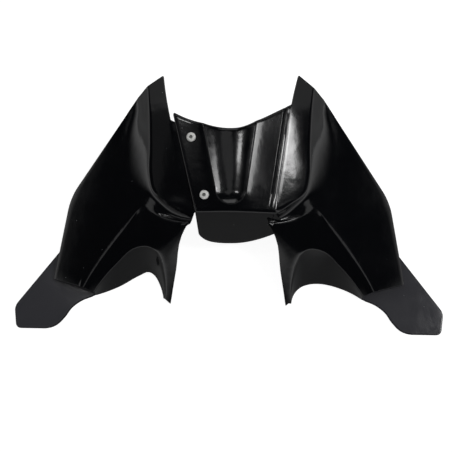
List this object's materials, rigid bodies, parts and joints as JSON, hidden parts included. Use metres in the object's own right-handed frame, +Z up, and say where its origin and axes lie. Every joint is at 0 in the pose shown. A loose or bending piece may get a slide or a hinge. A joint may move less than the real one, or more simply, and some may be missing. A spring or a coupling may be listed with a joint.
{
  "type": "motorcycle tank cover",
  "caption": "Gloss black moulded motorcycle tank cover with a channelled centre panel, spreading side wings, arched front cut-outs and flat tips, its side panel held on by socket screws.",
  "frame": {"origin": "on the cover's mid plane, level with the undersides of the tips it stands on, midway between the rear peaks and the fronts of the tips", "axes": "+Z up out of the top of the cover, +Y towards the rear peaks, +X across to the wing that is moulded in one with the centre panel"},
  "size_m": [0.526, 0.286, 0.1181],
  "materials": {
    "cover": "high-gloss black injection-moulded plastic with fine handling scratches",
    "fasteners": "bright zinc-plated steel"
  },
  "bodies": {
    "root": {"main_cover": "cover", "left_panel": "cover", "upper_screw": "fasteners", "lower_screw": "fasteners", "upper_nut": "fasteners", "lower_nut": "fasteners"}
  },
  "joints": []
}
